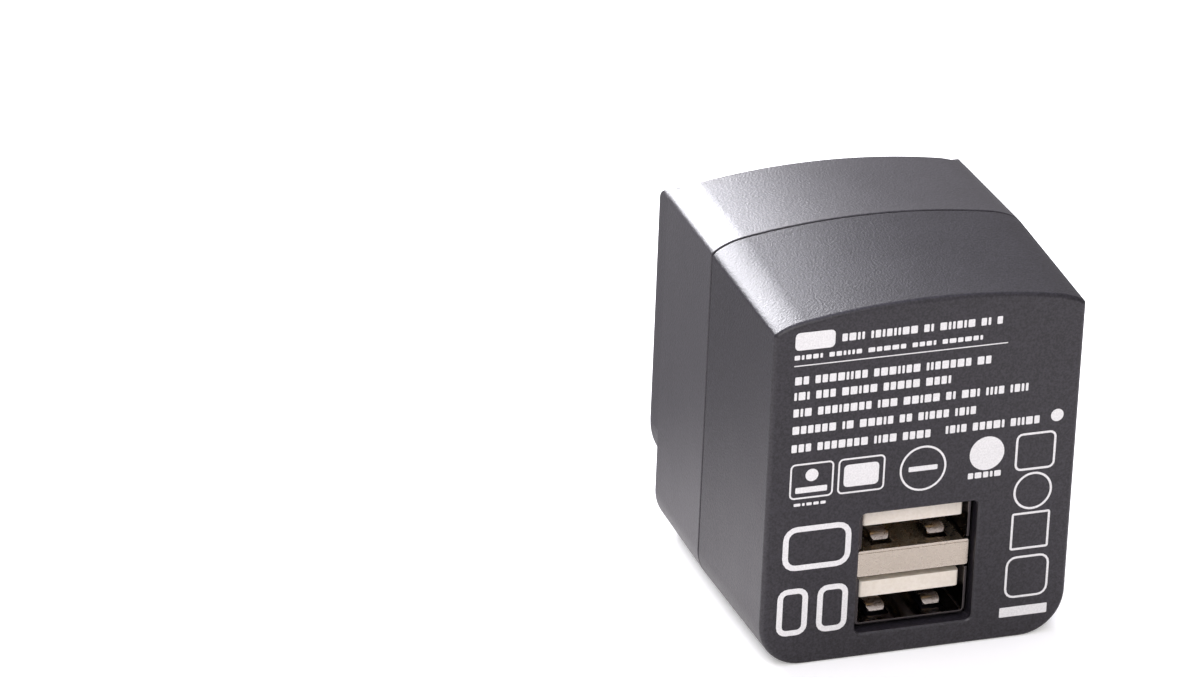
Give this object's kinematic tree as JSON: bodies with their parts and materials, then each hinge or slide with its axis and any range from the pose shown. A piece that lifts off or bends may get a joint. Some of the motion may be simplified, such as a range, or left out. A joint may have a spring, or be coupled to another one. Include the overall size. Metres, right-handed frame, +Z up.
{
  "type": "usb wall charger",
  "caption": "Compact mains USB charger body with stacked USB-A ports, an arched top and a slide-on plug interface with sprung contacts and a latch tongue.",
  "frame": {"origin": "centre of the bounding box at its bottom face", "axes": "+Z up, -Y out of the USB ports, +Y out of the plug interface, +X to the right when the ports face the viewer"},
  "size_m": [0.0368, 0.0412, 0.0446],
  "materials": {
    "housing": "fine spark texture, satin sheen",
    "bright_nickel": "bright nickel plate on copper alloy",
    "nickel_sheet": "warm nickel plate on steel strip",
    "nickel_brass": "nickel plate",
    "white_insulator": "moulded, faint gloss",
    "gold_contact": "thin gold over nickel",
    "wire_red": "insulated wire",
    "wire_black": "insulated wire",
    "board": "solder mask over glass-epoxy",
    "ferrite": "ground ferrite",
    "bobbin": "moulded phenolic",
    "copper": "enamelled copper winding",
    "tape": "polyester tape",
    "black_sleeve": "shrink sleeve over aluminium can",
    "green_sleeve": "shrink sleeve over aluminium can",
    "epoxy": "moulded epoxy",
    "blue_lacquer": "dipped lacquer",
    "resistor_coat": "flameproof coating"
  },
  "bodies": {
    "root": {"front_shell": "housing", "rear_shell": "housing", "contact_base_left": "nickel_brass", "contact_base_right": "nickel_brass", "contact_wire_left": "wire_red", "contact_wire_right": "wire_black", "usb_shield": "nickel_sheet", "usb_divider": "nickel_sheet", "usb_tongue_upper": "white_insulator", "usb_tongue_lower": "white_insulator", "main_board": "board", "output_capacitor_upper": "green_sleeve", "output_capacitor_lower": "green_sleeve", "output_inductor": "ferrite", "output_diode": "epoxy", "port_controller_chip": "epoxy", "bulk_capacitor_left": "black_sleeve", "bulk_capacitor_right": "black_sleeve", "bridge_rectifier": "epoxy", "input_choke": "ferrite", "fusible_resistor": "resistor_coat", "safety_capacitor": "blue_lacquer", "switching_chip": "epoxy", "optocoupler": "epoxy", "transformer_core_left": "ferrite", "transformer_core_right": "ferrite", "transformer_bobbin": "bobbin", "transformer_winding": "copper", "transformer_tape": "tape"},
    "latch": {"latch_tongue": "housing"},
    "mains_spring_left": {"contact_spring_left": "bright_nickel"},
    "mains_spring_right": {"contact_spring_right": "bright_nickel"},
    "usb_contact_upper_1_leaf": {"usb_contact_upper_1": "gold_contact"},
    "usb_contact_upper_2_leaf": {"usb_contact_upper_2": "gold_contact"},
    "usb_contact_upper_3_leaf": {"usb_contact_upper_3": "gold_contact"},
    "usb_contact_upper_4_leaf": {"usb_contact_upper_4": "gold_contact"},
    "usb_tab_upper_left_leaf": {"usb_tab_upper_left": "nickel_sheet"},
    "usb_tab_upper_right_leaf": {"usb_tab_upper_right": "nickel_sheet"},
    "usb_contact_lower_1_leaf": {"usb_contact_lower_1": "gold_contact"},
    "usb_contact_lower_2_leaf": {"usb_contact_lower_2": "gold_contact"},
    "usb_contact_lower_3_leaf": {"usb_contact_lower_3": "gold_contact"},
    "usb_contact_lower_4_leaf": {"usb_contact_lower_4": "gold_contact"},
    "usb_tab_lower_left_leaf": {"usb_tab_lower_left": "nickel_sheet"},
    "usb_tab_lower_right_leaf": {"usb_tab_lower_right": "nickel_sheet"}
  },
  "joints": [
    {"name": "latch_press", "type": "hinge", "parent": "root", "child": "latch", "pos_m": [0, 0.014, 0.0223], "axis": [-1, 0, 0], "range_deg": [0, 7], "stiffness_Nm_per_rad": 1.3},
    {"name": "mains_spring_left_flex", "type": "hinge", "parent": "root", "child": "mains_spring_left", "pos_m": [0.0109, 0.0111, 0.0333], "axis": [-1, 0, 0], "range_deg": [0, 8], "stiffness_Nm_per_rad": 0.3},
    {"name": "mains_spring_right_flex", "type": "hinge", "parent": "root", "child": "mains_spring_right", "pos_m": [-0.0109, 0.0111, 0.0333], "axis": [-1, 0, 0], "range_deg": [0, 8], "stiffness_Nm_per_rad": 0.3},
    {"name": "usb_contact_upper_1_flex", "type": "hinge", "parent": "root", "child": "usb_contact_upper_1_leaf", "pos_m": [-0.0035, -0.0034, 0.01575], "axis": [-1, 0, 0], "range_deg": [0, 2.2], "stiffness_Nm_per_rad": 0.18},
    {"name": "usb_contact_upper_2_flex", "type": "hinge", "parent": "root", "child": "usb_contact_upper_2_leaf", "pos_m": [-0.001, -0.0034, 0.01575], "axis": [-1, 0, 0], "range_deg": [0, 2.2], "stiffness_Nm_per_rad": 0.18},
    {"name": "usb_contact_upper_3_flex", "type": "hinge", "parent": "root", "child": "usb_contact_upper_3_leaf", "pos_m": [0.001, -0.0034, 0.01575], "axis": [-1, 0, 0], "range_deg": [0, 2.2], "stiffness_Nm_per_rad": 0.18},
    {"name": "usb_contact_upper_4_flex", "type": "hinge", "parent": "root", "child": "usb_contact_upper_4_leaf", "pos_m": [0.0035, -0.0034, 0.01575], "axis": [-1, 0, 0], "range_deg": [0, 2.2], "stiffness_Nm_per_rad": 0.18},
    {"name": "usb_tab_upper_left_flex", "type": "hinge", "parent": "root", "child": "usb_tab_upper_left_leaf", "pos_m": [-0.0033, -0.0102, 0.0124], "axis": [1, 0, 0], "range_deg": [0, 6], "stiffness_Nm_per_rad": 0.28},
    {"name": "usb_tab_upper_right_flex", "type": "hinge", "parent": "root", "child": "usb_tab_upper_right_leaf", "pos_m": [0.0033, -0.0102, 0.0124], "axis": [1, 0, 0], "range_deg": [0, 6], "stiffness_Nm_per_rad": 0.28},
    {"name": "usb_contact_lower_1_flex", "type": "hinge", "parent": "root", "child": "usb_contact_lower_1_leaf", "pos_m": [-0.0035, -0.0034, 0.0069], "axis": [-1, 0, 0], "range_deg": [0, 2.2], "stiffness_Nm_per_rad": 0.18},
    {"name": "usb_contact_lower_2_flex", "type": "hinge", "parent": "root", "child": "usb_contact_lower_2_leaf", "pos_m": [-0.001, -0.0034, 0.0069], "axis": [-1, 0, 0], "range_deg": [0, 2.2], "stiffness_Nm_per_rad": 0.18},
    {"name": "usb_contact_lower_3_flex", "type": "hinge", "parent": "root", "child": "usb_contact_lower_3_leaf", "pos_m": [0.001, -0.0034, 0.0069], "axis": [-1, 0, 0], "range_deg": [0, 2.2], "stiffness_Nm_per_rad": 0.18},
    {"name": "usb_contact_lower_4_flex", "type": "hinge", "parent": "root", "child": "usb_contact_lower_4_leaf", "pos_m": [0.0035, -0.0034, 0.0069], "axis": [-1, 0, 0], "range_deg": [0, 2.2], "stiffness_Nm_per_rad": 0.18},
    {"name": "usb_tab_lower_left_flex", "type": "hinge", "parent": "root", "child": "usb_tab_lower_left_leaf", "pos_m": [-0.0033, -0.0102, 0.00355], "axis": [1, 0, 0], "range_deg": [0, 6], "stiffness_Nm_per_rad": 0.28},
    {"name": "usb_tab_lower_right_flex", "type": "hinge", "parent": "root", "child": "usb_tab_lower_right_leaf", "pos_m": [0.0033, -0.0102, 0.00355], "axis": [1, 0, 0], "range_deg": [0, 6], "stiffness_Nm_per_rad": 0.28}
  ]
}
